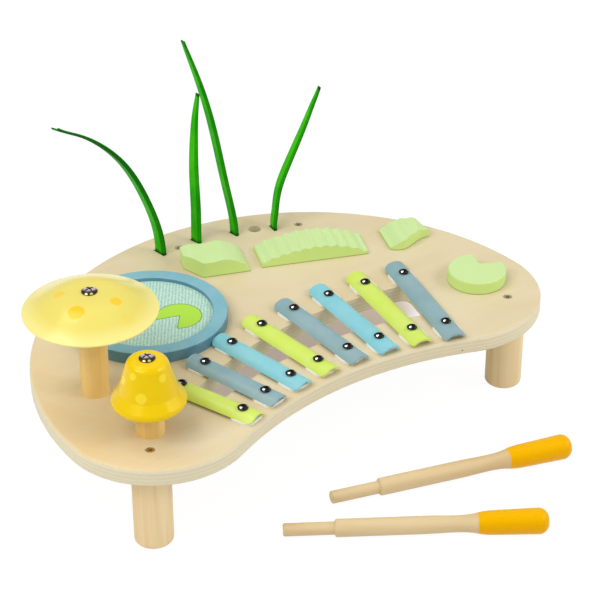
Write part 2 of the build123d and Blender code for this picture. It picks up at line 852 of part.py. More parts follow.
with BuildPart() as hill_block:
    with BuildSketch(side_plane(hill_place, hill_angle)):
        with BuildLine():
            hill_top = Spline(*hill_line)
            Polyline(hill_top @ 0, (0, 0), (hill_length, 0), hill_top @ 1)
        make_face()
    extrude(amount=-hill_depth)
    with BuildSketch(block_plane(hill_place, hill_angle)):
        Polygon((0, 0), (hill_chamfer_front, 0), (0, hill_chamfer_side), align=None)
    extrude(amount=hill_depth, mode=Mode.SUBTRACT)
    with Locations(*[from_beneath(place, table_height) for place in block_screw_places["hill"]]):
        Hole(radius=block_screw_diameter / 2 + screw_hole_gap, depth=block_screw_depth + screw_tip_gap)
save(hill_block, "plain_block")

with BuildPart() as scraper_block:
    with BuildSketch(side_plane(scraper_place, scraper_angle)):
        with BuildLine():
            ripples = Spline(
                *rippled_top(
                    scraper_length,
                    scraper_left_height,
                    scraper_crest_height,
                    scraper_crest_run,
                    scraper_right_height,
                    scraper_groove_count,
                    scraper_groove_depth,
                )
            )
            Polyline(ripples @ 0, (0, 0), (scraper_length, 0), ripples @ 1)
        make_face()
    extrude(amount=-scraper_depth)
    with Locations(*[from_beneath(place, table_height) for place in block_screw_places["scraper"]]):
        Hole(radius=block_screw_diameter / 2 + screw_hole_gap, depth=block_screw_depth + screw_tip_gap)
save(scraper_block, "ridged_block")

with BuildPart() as leaf_block:
    with BuildSketch(side_plane(leaf_place, leaf_angle)):
        with BuildLine():
            ripples = Spline(
                *rippled_top(
                    leaf_length,
                    leaf_left_height,
                    leaf_crest_height,
                    leaf_crest_run,
                    leaf_right_height,
                    leaf_groove_count,
                    leaf_groove_depth,
                )
            )
            Polyline(ripples @ 0, (0, 0), (leaf_length, 0), ripples @ 1)
        make_face()
    extrude(amount=leaf_depth, both=True)
    with BuildSketch(block_plane(leaf_place, leaf_angle)):
        with BuildLine():
            bulge_run, bulge_reach = leaf_bulge
            cut_run, cut_depth = leaf_cut
            front_side = Spline(
                (0, 0), (bulge_run, -bulge_reach), (cut_run, cut_depth), (leaf_length, leaf_right_start)
            )
            Polyline(
                front_side @ 1,
                (leaf_length - leaf_right_taper, leaf_depth),
                (0, leaf_depth),
                front_side @ 0,
            )
        make_face()
    extrude(amount=leaf_crest_height, mode=Mode.INTERSECT)
    with Locations(*[from_beneath(place, table_height) for place in block_screw_places["leaf"]]):
        Hole(radius=block_screw_diameter / 2 + screw_hole_gap, depth=block_screw_depth + screw_tip_gap)
save(leaf_block, "leaf_block")

with BuildPart() as lily_pad:
    with BuildSketch(level(table_height, lily_place)) as lily_outline:
        Circle(lily_diameter / 2)
        corner = Vector(*lily_notch_corner)
        Polygon(
            corner,
            corner + heading(lily_notch_right_angle) * lily_diameter,
            corner + heading(lily_notch_left_angle) * lily_diameter,
            align=None,
            mode=Mode.SUBTRACT,
        )
        fillet(lily_outline.vertices(), radius=lily_corner_radius)
    extrude(amount=lily_height)
    fillet(lily_pad.edges().group_by(Axis.Z)[-1], radius=lily_edge_radius)
    with Locations(*[from_beneath(place, table_height) for place in block_screw_places["lily"]]):
        Hole(radius=block_screw_diameter / 2 + screw_hole_gap, depth=block_screw_depth + screw_tip_gap)
save(lily_pad, "lily_pad")

single_block_screws = [
    countersunk_screw(
        from_beneath(place),
        block_screw_head_diameter,
        block_screw_head_height,
        block_screw_diameter,
        block_screw_depth,
    ).part
    for place in all_block_screw_places
]
with BuildPart() as block_screws:
    add(single_block_screws)
save(block_screws, "block_screws")


# ================================================================ mallets
shoulder_station = mallet_peg_length + mallet_shoulder_chamfer
head_station = mallet_length - mallet_head_length
swell_station = head_station + mallet_swell_length
end_station = mallet_length - mallet_end_radius
peg_radius = mallet_peg_diameter / 2
stick_radius = mallet_stick_diameter / 2
head_radius = mallet_head_diameter / 2
collar_radius = mallet_collar_diameter / 2
tenon_radius = mallet_tenon_diameter / 2
# The mallet lies on its stick's shoulder and on the head's side, a cone that lies flat.
mallet_tilt = degrees(atan2(head_radius - stick_radius, end_station - shoulder_station))
mallet_end_height = stick_radius * cos(radians(mallet_tilt)) - shoulder_station * sin(
    radians(mallet_tilt)
)
swell_radius = head_radius - (end_station - swell_station) * tan(radians(mallet_tilt))


def mallet_plane(place, angle):
    """Upright plane with its X along the mallet's axis, from the thin end."""
    x, y = place
    along = heading(angle) * cos(radians(mallet_tilt)) + Vector(0, 0, sin(radians(mallet_tilt)))
    return Plane(origin=(x, y, mallet_end_height), x_dir=along, z_dir=heading(angle - 90))


for index, (place, angle) in enumerate(zip(mallet_places, mallet_angles)):
    profile_plane = mallet_plane(place, angle)
    mallet_axis = Axis(profile_plane.origin, profile_plane.x_dir)

    with BuildPart() as mallet_stick:
        with BuildSketch(profile_plane):
            with BuildLine():
                neck_start = head_station - mallet_neck_length
                thinnest = neck_start + mallet_neck_share * mallet_neck_length
                tenon_end = head_station + mallet_tenon_length
                peg = Polyline(
                    (0, 0),
                    (0, peg_radius - mallet_shoulder_chamfer),
                    (mallet_shoulder_chamfer, peg_radius),
                    (mallet_peg_length, peg_radius),
                    (mallet_peg_length, stick_radius - mallet_shoulder_chamfer),
                    (shoulder_station, stick_radius),
                    (neck_start, stick_radius),
                )
                neck = Spline(
                    peg @ 1,
                    (thinnest, mallet_neck_diameter / 2),
                    (head_station, collar_radius),
                    tangents=((1, 0), heading(mallet_collar_slope)),
                )
                Polyline(
                    neck @ 1,
                    (head_station, tenon_radius),
                    (tenon_end, tenon_radius),
                    (tenon_end, 0),
                    peg @ 0,
                )
            make_face()
        revolve(axis=mallet_axis)
    save(mallet_stick, f"mallet_{index + 1}_stick")

    with BuildPart() as mallet_head:
        with BuildSketch(profile_plane):
            with BuildLine():
                hole_radius = tenon_radius + mallet_tenon_gap
                hole_end = head_station + mallet_tenon_length + screw_tip_gap
                collar = Line((head_station, hole_radius), (head_station, collar_radius))
                swell = Spline(
                    collar @ 1,
                    (swell_station, swell_radius),
                    tangents=(heading(mallet_collar_slope), heading(mallet_tilt)),
                )
                side = Line(swell @ 1, (end_station, head_radius))
                end_round = TangentArc(
                    side @ 1,
                    (mallet_length, head_radius - mallet_end_radius),
                    tangent=heading(mallet_tilt),
                )
                Polyline(
                    end_round @ 1,
                    (mallet_length, 0),
                    (hole_end, 0),
                    (hole_end, hole_radius),
                    collar @ 0,
                )
            make_face()
        revolve(axis=mallet_axis)
    save(mallet_head, f"mallet_{index + 1}_head")
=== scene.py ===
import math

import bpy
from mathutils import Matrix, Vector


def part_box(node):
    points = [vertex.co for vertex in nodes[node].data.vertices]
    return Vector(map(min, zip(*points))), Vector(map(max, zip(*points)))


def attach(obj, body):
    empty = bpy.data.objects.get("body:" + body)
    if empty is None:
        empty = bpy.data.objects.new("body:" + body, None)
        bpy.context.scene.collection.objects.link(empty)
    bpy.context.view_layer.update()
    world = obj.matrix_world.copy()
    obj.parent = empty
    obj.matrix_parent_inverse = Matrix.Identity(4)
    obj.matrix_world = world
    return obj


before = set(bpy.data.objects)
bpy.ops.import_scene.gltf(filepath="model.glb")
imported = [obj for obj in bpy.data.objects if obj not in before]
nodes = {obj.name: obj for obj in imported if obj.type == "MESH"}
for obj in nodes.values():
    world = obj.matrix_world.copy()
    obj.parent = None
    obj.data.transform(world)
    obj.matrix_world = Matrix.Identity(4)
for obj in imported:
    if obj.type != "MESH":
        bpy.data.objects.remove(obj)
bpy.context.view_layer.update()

# Musical activity table: the materials of its wood, paint, metal, drum head and grass, the
# leaf print on the drum, and a plain studio. Lengths are in metres, in the model's frame, and
# angles are in degrees: azimuths from +X towards +Y, elevations from the level.

MM = 0.001
BOARD_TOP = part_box("tabletop")[1][2]
BOARD_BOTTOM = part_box("tabletop")[0][2]
UP = Vector((0, 0, 1))


# ---------------------------------------------------------------- node tree helper
class Look:
    """A material that is built up node by node."""

    def __init__(self, name):
        self.material = bpy.data.materials.new(name)
        self.material.use_nodes = True
        self.tree = self.material.node_tree
        self.shader = self.tree.nodes["Principled BSDF"]

    def node(self, kind, inputs=None, **settings):
        """Add a node; an input is a socket to join or a plain value."""
        node = self.tree.nodes.new(kind)
        for key, value in settings.items():
            setattr(node, key, value)
        for key, value in (inputs or {}).items():
            self.join(value, node.inputs[key])
        return node

    def join(self, value, socket):
        if isinstance(value, bpy.types.NodeSocket):
            self.tree.links.new(value, socket)
        else:
            socket.default_value = value

    def set(self, **values):
        """Set the shader's own sockets; underscores stand for spaces."""
        for key, value in values.items():
            self.join(value, self.shader.inputs[key.replace("_", " ")])

    def place(self):
        """Position on the object, in metres."""
        return self.node("ShaderNodeTexCoord").outputs["Object"]

    def stretched(self, scale, turn=0.0):
        """Position turned about Z, then scaled."""
        rotation = (0, 0, math.radians(turn))
        turned = self.node("ShaderNodeMapping", {"Vector": self.place(), "Rotation": rotation})
        return self.node(
            "ShaderNodeMapping", {"Vector": turned.outputs["Vector"], "Scale": scale}
        ).outputs["Vector"]

    def noise(self, vector, scale, detail=3.0, roughness=0.55, distortion=0.0):
        return self.node(
            "ShaderNodeTexNoise",
            {
                "Vector": vector,
                "Scale": scale,
                "Detail": detail,
                "Roughness": roughness,
                "Distortion": distortion,
            },
        ).outputs["Fac"]

    def math(self, operation, first, second=0.0):
        return self.node("ShaderNodeMath", {0: first, 1: second}, operation=operation).outputs[0]

    def vector_math(self, operation, first, second=(0, 0, 0), output="Vector"):
        inputs = {0: first, 1: tuple(second)}
        return self.node("ShaderNodeVectorMath", inputs, operation=operation).outputs[output]

    def wave(self, value, pitch):
        """Sine that repeats each pitch, from -1 to 1."""
        return self.math("SINE", self.math("MULTIPLY", value, 2 * math.pi / pitch))

    def span(self, value, low, high, to_low=0.0, to_high=1.0, smooth=True):
        """Map a value's span to another, held at both ends."""
        return self.node(
            "ShaderNodeMapRange",
            {
                "Value": value,
                "From Min": low,
                "From Max": high,
                "To Min": to_low,
                "To Max": to_high,
            },
            interpolation_type="SMOOTHSTEP" if smooth else "LINEAR",
        ).outputs["Result"]

    def mix(self, share, first, second):
        """Blend two colours: a share of 0 gives the first, and 1 the second."""
        node = self.node("ShaderNodeMix", data_type="RGBA")
        self.join(share, node.inputs["Factor"])
        for key, value in (("A", first), ("B", second)):
            socket = [s for s in node.inputs if s.name == key and s.type == "RGBA"][0]
            self.join(value, socket)
        return [s for s in node.outputs if s.type == "RGBA"][0]

    def axis_of(self, vector, axis):
        return self.node("ShaderNodeSeparateXYZ", {"Vector": vector}).outputs[axis]

    def facing(self, direction):
        """How far the surface faces a direction, from -1 to 1."""
        normal = self.node("ShaderNodeNewGeometry").outputs["Normal"]
        return self.vector_math("DOT_PRODUCT", normal, direction, output="Value")

    def bump(self, height, strength, distance):
        inputs = {"Height": height, "Strength": strength, "Distance": distance}
        return self.node("ShaderNodeBump", inputs).outputs["Normal"]

    def distance_to(self, point, flat=True):
        """Distance from a point; flat leaves the height out."""
        apart = self.vector_math("SUBTRACT", self.place(), point)
        if flat:
            apart = self.vector_math("MULTIPLY", apart, (1, 1, 0))
        return self.vector_math("LENGTH", apart, output="Value")


def rgb(red, green, blue):
    """Colour as a screen shows it (0 to 255), in the shader's linear values."""
    channels = []
    for value in (red, green, blue):
        share = value / 255
        channels.append(share / 12.92 if share <= 0.04045 else ((share + 0.055) / 1.055) ** 2.4)
    return (*channels, 1.0)


def heading(azimuth, elevation=0.0):
    """Unit vector from an azimuth and an elevation in degrees."""
    azimuth, elevation = math.radians(azimuth), math.radians(elevation)
    return Vector(
        (
            math.cos(azimuth) * math.cos(elevation),
            math.sin(azimuth) * math.cos(elevation),
            math.sin(elevation),
        )
    )


def dress(look, *names):
    """Give the CAD nodes of these names a look in all their material slots."""
    for name in names:
        for material_slot in nodes[name].material_slots:
            material_slot.material = look.material


# ---------------------------------------------------------------- wood
PLY_COUNT = 9
PIN_KNOT = Vector((278.0, -27.4, 72.0)) * MM  # a pin-sized dark knot in the front edge
FOOT_LINE_HEIGHT = 1.1 * MM  # of the dark line where a painted piece meets the board


def plywood():
    """Pale veneer with its grain along X, and layered edges."""
    look = Look("plywood")
    fine = look.noise(look.stretched((10, 330, 330)), 1.0, detail=5.0, distortion=0.3)
    broad = look.noise(look.stretched((4, 17, 17)), 1.0, detail=2.0, distortion=0.8)
    pores = look.noise(look.stretched((55, 1400, 1400)), 1.0, detail=1.0)
    mottle = look.noise(look.place(), 16.0, detail=2.0, distortion=0.6)
    # Painted reflection and shade: the board's left part, near the yellow cymbal and bell, is
    # painted warmer.
    painted_warm_bounce = look.span(look.axis_of(look.place(), "X"), 0.06, -0.09)
    veneer = look.mix(look.span(broad, 0.3, 0.7), rgb(217, 202, 165), rgb(212, 193, 153))
    veneer = look.mix(painted_warm_bounce, veneer, rgb(230, 200, 144))
    veneer = look.mix(look.span(mottle, 0.35, 0.7, 0.0, 0.35), veneer, rgb(222, 209, 179))
    veneer = look.mix(look.span(fine, 0.5, 0.8, 0.0, 0.22), veneer, rgb(208, 180, 132))
    veneer = look.mix(look.span(pores, 0.7, 0.8, 0.0, 0.18), veneer, rgb(184, 152, 108))

    height = look.axis_of(look.place(), "Z")
    phase = look.span(height, BOARD_BOTTOM, BOARD_TOP, 0.0, PLY_COUNT * math.pi, smooth=False)
    cross_grain = look.span(look.math("SINE", phase), -0.3, 0.3)
    fibres = look.noise(look.stretched((420, 420, 2500)), 1.0, detail=2.0)
    long_ply = look.mix(fine, rgb(227, 217, 187), rgb(219, 208, 175))
    cross_ply = look.mix(look.span(fibres, 0.3, 0.7), rgb(221, 210, 179), rgb(212, 201, 168))
    edge = look.mix(cross_grain, long_ply, cross_ply)
    on_face = look.span(look.math("ABSOLUTE", look.facing(UP)), 0.55, 0.85)
    knot = look.span(look.distance_to(PIN_KNOT, flat=False), 0.5 * MM, 0.9 * MM, 0.85, 0.0)
    relief = look.math("ADD", fine, look.math("MULTIPLY", cross_grain, -0.3))
    look.set(
        Base_Color=look.mix(knot, look.mix(on_face, edge, veneer), rgb(84, 64, 42)),
        Roughness=look.span(fine, 0.3, 0.7, 0.48, 0.6),
        Normal=look.bump(relief, 0.12, 0.4 * MM),
        Specular_IOR_Level=0.35,
    )
    return look


def turned_wood(name, light, dark, along, turn=0.0):
    """Clear wood with its grain along Z, or along a level line that a turn brings onto X."""
    look = Look(name)
    if along == "Z":
        fine_scale, broad_scale = (300, 300, 9), (42, 42, 3)
    else:
        fine_scale, broad_scale = (9, 300, 300), (3, 42, 42)
    fine = look.noise(look.stretched(fine_scale, turn), 1.0, detail=5.0, distortion=0.3)
    broad = look.noise(look.stretched(broad_scale, turn), 1.0, detail=2.0, distortion=1.2)
    colour = look.mix(look.span(broad, 0.35, 0.65), light, dark)
    colour = look.mix(look.span(fine, 0.5, 0.8, 0.0, 0.25), colour, rgb(196, 158, 100))
    look.set(
        Base_Color=colour,
        Roughness=look.span(fine, 0.3, 0.7, 0.45, 0.58),
        Normal=look.bump(fine, 0.12, 0.3 * MM),
        Specular_IOR_Level=0.35,
    )
    return look


def painted_wood(name, face, side, roughness=0.42, haze=0.05, shine=0.4, foot_shade=0.0):
    """Satin paint over wood, tops paler than sides as painted light; the foot on the board
    darkens.
    """
    look = Look(name)
    grain = look.noise(look.stretched((30, 240, 240), -22), 1.0, detail=3.0)
    cloud = look.noise(look.place(), 60.0, detail=2.0)
    # Painted light: level faces take the top colour and sides the side colour, as light from
    # above falls.
    painted_light_share = look.span(look.facing(UP), 0.25, 0.85)
    colour = look.mix(painted_light_share, side, face)
    height = look.axis_of(look.place(), "Z")
    at_foot = look.span(
        height, BOARD_TOP + 0.3 * MM, BOARD_TOP + FOOT_LINE_HEIGHT, foot_shade, 0.0
    )
    colour = look.mix(at_foot, colour, rgb(120, 106, 44))
    colour = look.mix(look.span(cloud, 0.3, 0.7, 0.0, haze), colour, rgb(255, 255, 255))
    relief = look.math("ADD", grain, look.math("MULTIPLY", cloud, 0.6))
    look.set(
        Base_Color=colour,
        Roughness=look.span(grain, 0.3, 0.7, roughness - 0.05, roughness + 0.06),
        Normal=look.bump(relief, 0.1, 0.3 * MM),
        Specular_IOR_Level=shine,
    )
    return look


# ---------------------------------------------------------------- metal
SPOT_SOFTNESS = 0.7 * MM  # that a spot's edge fades over, inwards and outwards
GLINT_SOFTNESS = 0.25  # the same for a painted glint, as a share of its half width


def enamel(name, colour, roughness=0.4, coat=0.2, haze=0.06, shine=0.5, gleam=rgb(255, 255, 255)):
    """Smooth gloss paint on metal and its colour; gleam is the tint of its reflections."""
    look = Look(name)
    peel = look.noise(look.place(), 900.0, detail=1.0)
    cloud = look.noise(look.place(), 45.0, detail=2.0)
    tinted = look.mix(look.span(cloud, 0.3, 0.7, 0.0, haze), colour, rgb(255, 255, 255))
    look.set(
        Base_Color=tinted,
        Roughness=look.span(cloud, 0.3, 0.7, roughness, roughness + 0.06),
        Normal=look.bump(peel, 0.05, 0.2 * MM),
        Coat_Weight=coat,
        Coat_Roughness=0.2,
        Specular_IOR_Level=shine,
        Specular_Tint=gleam,
    )
    return look, tinted


def spotted_enamel(name, colour, spots, gleam, flat=True, rim=None):
    """Gloss paint with round printed spots, and a rim that may be paler.

    A spot is a centre, a radius, a colour and its strength. Flat spots leave the height out.
    A rim is the centre, the radii between which it comes up, and its colour.
    """
    look, tinted = enamel(
        name, colour, roughness=0.2, coat=0.1, haze=0.0, shine=0.45, gleam=gleam
    )
    if rim:
        centre, inner_radius, outer_radius, rim_colour = rim
        outward = look.span(look.distance_to(centre), inner_radius, outer_radius)
        tinted = look.mix(outward, tinted, rim_colour)
    wobble = look.noise(look.place(), 220.0, detail=1.0)
    for centre, radius, spot_colour, strength in spots:
        apart = look.distance_to(centre, flat)
        apart = look.math("ADD", apart, look.span(wobble, 0.3, 0.7, -0.2 * MM, 0.2 * MM))
        inside = look.span(apart, radius - SPOT_SOFTNESS, radius + SPOT_SOFTNESS, strength, 0.0)
        tinted = look.mix(inside, tinted, spot_colour)
    look.set(Base_Color=tinted)
    return look


def polished_steel(name, low, high, glints, roughness=0.12, metallic=1.0):
    """Screw metal with fine scratches, and painted glints where it faces some directions.

    A painted glint is a direction, a half width in degrees and a colour.
    """
    look = Look(name)
    scratches = look.noise(look.place(), 1500.0, detail=2.0)
    colour = look.mix(scratches, low, high)
    # Painted highlights and reflections: each glint lightens the base colour where the surface
    # faces its direction.
    for direction, half_width, bright in glints:
        edge = math.cos(math.radians(half_width * (1 + GLINT_SOFTNESS)))
        core = math.cos(math.radians(half_width * (1 - GLINT_SOFTNESS)))
        colour = look.mix(look.span(look.facing(direction), edge, core), colour, bright)
    look.set(
        Base_Color=colour,
        Roughness=look.span(scratches, 0.3, 0.7, roughness, roughness + 0.08),
        Metallic=metallic,
    )
    return look


# ---------------------------------------------------------------- soft and thin materials
def foam():
    """White closed-cell foam."""
    look = Look("foam")
    voronoi = look.node("ShaderNodeTexVoronoi", {"Vector": look.place(), "Scale": 1800.0})
    cells = voronoi.outputs["Distance"]
    look.set(
        Base_Color=look.mix(cells, rgb(224, 224, 220), rgb(248, 248, 245)),
        Roughness=0.85,
        Normal=look.bump(cells, 0.4, 0.3 * MM),
    )
    return look


def felt():
    """Off-white felt."""
    look = Look("felt")
    fibres = look.noise(look.place(), 1300.0, detail=4.0, roughness=0.7)
    look.set(
        Base_Color=look.mix(fibres, rgb(214, 208, 196), rgb(240, 236, 228)),
        Roughness=0.95,
        Sheen_Weight=0.3,
        Normal=look.bump(fibres, 0.6, 0.4 * MM),
    )
    return look


RIB_PITCH = 2.7 * MM
RIB_AZIMUTH = 53.0  # that the ribs run along
THREAD_PITCH = 0.9 * MM


def drum_skin():
    """Pale cloth with broken ribs and a finer thread across them."""
    look = Look("drum_skin")
    turned = look.stretched((1, 1, 1), -RIB_AZIMUTH)
    waver = look.noise(look.stretched((18, 60, 60)), 1.0, detail=2.0)
    across = look.math(
        "ADD", look.axis_of(turned, "Y"), look.span(waver, 0.3, 0.7, -0.4 * MM, 0.4 * MM)
    )
    ribs = look.wave(across, RIB_PITCH)
    thread = look.wave(look.axis_of(turned, "X"), THREAD_PITCH)
    broken = look.span(look.noise(look.place(), 420.0, detail=2.0), 0.3, 0.7, -0.9, 0.9)
    weave = look.math("ADD", ribs, look.math("MULTIPLY", thread, 0.35))
    share = look.span(look.math("ADD", weave, broken), -1.4, 1.4)
    look.set(
        Base_Color=look.mix(share, rgb(153, 194, 179), rgb(194, 223, 208)),
        Roughness=0.72,
        Normal=look.bump(share, 0.35, 0.3 * MM),
        Specular_IOR_Level=0.3,
    )
    return look


def printed_ink(name, colour):
    """Thin satin print on the drum's cloth."""
    look = Look(name)
    cloth = look.noise(look.place(), 700.0, detail=2.0)
    look.set(
        Base_Color=look.mix(look.span(cloth, 0.3, 0.7, 0.0, 0.04), colour, rgb(255, 255, 255)),
        Roughness=0.6,
        Normal=look.bump(cloth, 0.15, 0.2 * MM),
        Specular_IOR_Level=0.15,
    )
    return look


# ---------------------------------------------------------------- grass
BLADE_WIDTH_AZIMUTHS = {1: -84.0, 2: -79.0, 3: -84.0, 4: -98.0}  # its narrow side faces this way
BLADE_SHADES = {1: 1.0, 2: 0.7, 3: 0.8, 4: 0.9}  # how dark the painted shade on each blade's narrow side is
BLADE_FOOT_LENGTH = 4.0 * MM  # that darkens above the board
BLADE_TIP_LENGTH = 3.4 * MM  # that darkens at the cut end


def grass(number, width_azimuth, shade):
    """Green strip: painted shade darkens its fold's narrow side and underside; its tip and foot
    too.
    """
    look = Look(f"grass_{number}")
    points = [vertex.co for vertex in nodes[f"grass_blade_{number}"].data.vertices]
    foot_points = [point for point in points if point.z < BOARD_TOP]
    foot = sum(foot_points, Vector()) / len(foot_points)
    tip = max(points, key=lambda point: (point - foot).length)
    streaks = look.noise(look.stretched((900, 900, 30)), 1.0, detail=3.0)
    cloud = look.noise(look.place(), 38.0, detail=2.0)
    # Painted shade: the fold's narrow side and the faces turned to the ground are darkened.
    painted_side_shade = look.span(look.facing(heading(width_azimuth)), 0.3, 0.65, 0.0, shade)
    painted_underside_shade = look.span(look.facing(UP), -0.45, -0.75, 0.0, 0.8 * shade)
    bright = look.mix(look.span(cloud, 0.35, 0.65), rgb(38, 172, 2), rgb(64, 194, 10))
    bright = look.mix(look.span(streaks, 0.4, 0.7, 0.0, 0.3), bright, rgb(30, 142, 4))
    colour = look.mix(look.math("MAXIMUM", painted_side_shade, painted_underside_shade), bright, rgb(10, 106, 6))
    height = look.axis_of(look.place(), "Z")
    near_foot = look.span(height, BOARD_TOP, BOARD_TOP + BLADE_FOOT_LENGTH, 0.75, 0.0)
    colour = look.mix(near_foot, colour, rgb(8, 44, 14))
    from_tip = look.distance_to(tip, flat=False)
    near_tip = look.span(from_tip, 2.0 * MM, BLADE_TIP_LENGTH, 0.85, 0.0)
    look.set(
        Base_Color=look.mix(near_tip, colour, rgb(20, 56, 18)),
        Roughness=look.span(streaks, 0.3, 0.7, 0.5, 0.6),
        Normal=look.bump(streaks, 0.2, 0.3 * MM),
        Specular_IOR_Level=0.06,
        Specular_Tint=rgb(150, 255, 120),
    )
    return look


# ---------------------------------------------------------------- dressing the pieces
dress(plywood(), "tabletop")

screws = [name for name in nodes if "screw" in name]
legs = [name for name in nodes if name.startswith("leg_") and name not in screws]
leg_look = turned_wood("leg_wood", rgb(236, 213, 166), rgb(228, 200, 150), "Z")
dress(leg_look, *legs)
post_look = turned_wood("post_wood", rgb(240, 206, 132), rgb(232, 192, 108), "Z")
dress(post_look, "cymbal_post", "bell_post")
dress(turned_wood("hoop_wood", rgb(226, 206, 170), rgb(206, 182, 140), "Z"), "drum_hoop")

# The top and side colours of each painted piece differ by painted light.
blue_paint = painted_wood("blue_paint", rgb(119, 174, 187), rgb(80, 134, 156), foot_shade=0.3)
dress(blue_paint, "drum_ring")
leaf_green = painted_wood(
    "green_paint", rgb(197, 223, 151), rgb(204, 232, 134), haze=0.03, foot_shade=0.7
)
dress(leaf_green, "plain_block", "ridged_block", "leaf_block", "lily_pad")

BAR_COLOURS = {
    "green": rgb(202, 224, 80),
    "grey_blue": rgb(128, 162, 168),
    "teal": rgb(124, 196, 206),
}
BAR_COUNT = 8
bar_looks = [enamel(f"bar_{name}", colour)[0] for name, colour in BAR_COLOURS.items()]
for number in range(BAR_COUNT):
    dress(bar_looks[number % len(bar_looks)], f"bar_{number + 1}")

# Painted reflection and highlights on the bar screws: a near-black base for the dark room around
# them, and a white and a grey glint.
bar_painted_glints = (
    (heading(196, 67), 10, rgb(255, 255, 255)),
    (heading(-30, 56), 8, rgb(206, 210, 208)),
)
bar_steel = polished_steel("bar_screw_steel", rgb(40, 38, 34), rgb(66, 64, 60), bar_painted_glints)
# Painted reflection and highlights on the cymbal and bell screws: an olive-brown base for the
# yellow paint around them, a lilac-grey glint over the upper half, and a pale and a yellow glint.
top_painted_glints = (
    (heading(53, 76), 30, rgb(214, 200, 206)),
    (heading(213, 52), 7, rgb(250, 240, 190)),
    (heading(255, 54), 7, rgb(226, 210, 140)),
)
top_steel = polished_steel(
    "top_screw_steel",
    rgb(34, 20, 6),
    rgb(60, 44, 22),
    top_painted_glints,
    roughness=0.25,
    metallic=0.5,
)
bronze_steel = polished_steel(
    "bronze_steel", rgb(188, 173, 140), rgb(210, 195, 160), glints=(), roughness=0.3
)
for name in screws:
    if name in ("cymbal_screw", "bell_screw"):
        dress(top_steel, name)
    elif name.startswith("bar_"):
        dress(bar_steel, name)
    else:
        dress(bronze_steel, name)
dress(foam(), *[name for name in nodes if name.endswith("_pads")])
dress(felt(), "cymbal_washer", "bell_washer")
dress(drum_skin(), "drum_head")

CYMBAL_SPOT = rgb(238, 192, 0)
cymbal_spots = (
    ((-11.9 * MM, 73.0 * MM, 0), 6.1 * MM, CYMBAL_SPOT, 1.0),
    ((18.7 * MM, 66.9 * MM, 0), 4.2 * MM, CYMBAL_SPOT, 0.85),
    ((-9.6 * MM, 100.2 * MM, 0), 4.2 * MM, CYMBAL_SPOT, 0.6),
    ((18.0 * MM, 50.3 * MM, 0), 5.0 * MM, CYMBAL_SPOT, 0.15),
)
cymbal_centre = (Vector(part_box("cymbal")[0]) + Vector(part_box("cymbal")[1])) / 2
cymbal_look = spotted_enamel(
    "pale_yellow_enamel",
    rgb(225, 209, 100),
    cymbal_spots,
    gleam=rgb(255, 248, 210),
    rim=(cymbal_centre, 36 * MM, 50 * MM, rgb(234, 221, 134)),
)
dress(cymbal_look, "cymbal")

BELL_SPOT = rgb(250, 228, 70)
SKIRT_FOOT_HEIGHT = 120.2 * MM  # the bell's straight skirt starts here
SKIRT_FOOT_RADIUS = 22.5 * MM
SKIRT_SLOPE = 0.301  # radius lost per height
bell_centre = (Vector(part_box("bell")[0]) + Vector(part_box("bell")[1])) / 2
bell_spots = []
for azimuth, height, size in (
    (-138, 124.8, 4.0),
    (-84, 137.6, 3.2),
    (-163, 139.4, 2.8),
    (-20, 128.0, 3.6),
    (40, 137.0, 3.0),
    (105, 124.5, 3.8),
    (165, 132.0, 3.2),
):
    radius = SKIRT_FOOT_RADIUS - SKIRT_SLOPE * (height * MM - SKIRT_FOOT_HEIGHT)
    spot = bell_centre + radius * heading(azimuth)
    spot.z = height * MM
    bell_spots.append((spot, size * MM, BELL_SPOT, 0.5))
bell_look = spotted_enamel(
    "yellow_enamel", rgb(231, 194, 0), bell_spots, gleam=rgb(255, 236, 130), flat=False
)
dress(bell_look, "bell")

for number, width_azimuth in BLADE_WIDTH_AZIMUTHS.items():
    dress(grass(number, width_azimuth, BLADE_SHADES[number]), f"grass_blade_{number}")

MALLET_TURNS = {1: 35.5, 2: 18.9}  # bring each stick's line onto X
# The top and side colours of the mallet heads differ by painted light.
head_look = painted_wood(
    "orange_paint", rgb(235, 175, 0), rgb(231, 168, 0), roughness=0.3, haze=0.0, shine=0.3
)
head_look.set(Specular_Tint=rgb(255, 214, 90))
for number, turn in MALLET_TURNS.items():
    stick_look = turned_wood(
        f"stick_wood_{number}", rgb(216, 193, 148), rgb(207, 178, 130), "level", turn
    )
    dress(stick_look, f"mallet_{number}_stick")
    dress(head_look, f"mallet_{number}_head")


# ---------------------------------------------------------------- leaf print on the drum
PRINT_CENTRE = Vector((114.0, 129.0, 0.0)) * MM
PRINT_RADIUS = 18.5 * MM
PRINT_START = 230.0  # azimuths; the leaf's notch lies between its end and its start
PRINT_END = 521.0
PRINT_STEPS = 72
PRINT_LINE = 0.7 * MM
PRINT_THICKNESS = 0.05 * MM


def leaf_outline(inset):
    """Points round a leaf disc with a notch, the same number for each inset."""
    half_notch = math.radians(360 - (PRINT_END - PRINT_START)) / 2
    notch_middle = (PRINT_START + PRINT_END) / 2 + 180
    corner = PRINT_CENTRE - inset / math.sin(half_notch) * heading(notch_middle)
    radius = PRINT_RADIUS - inset
    trim = math.degrees(inset / radius)
    sweep = PRINT_END - PRINT_START - 2 * trim
    points = [corner]
    for step in range(PRINT_STEPS + 1):
        azimuth = PRINT_START + trim + sweep * step / PRINT_STEPS
        points.append(PRINT_CENTRE + radius * heading(azimuth))
    return points


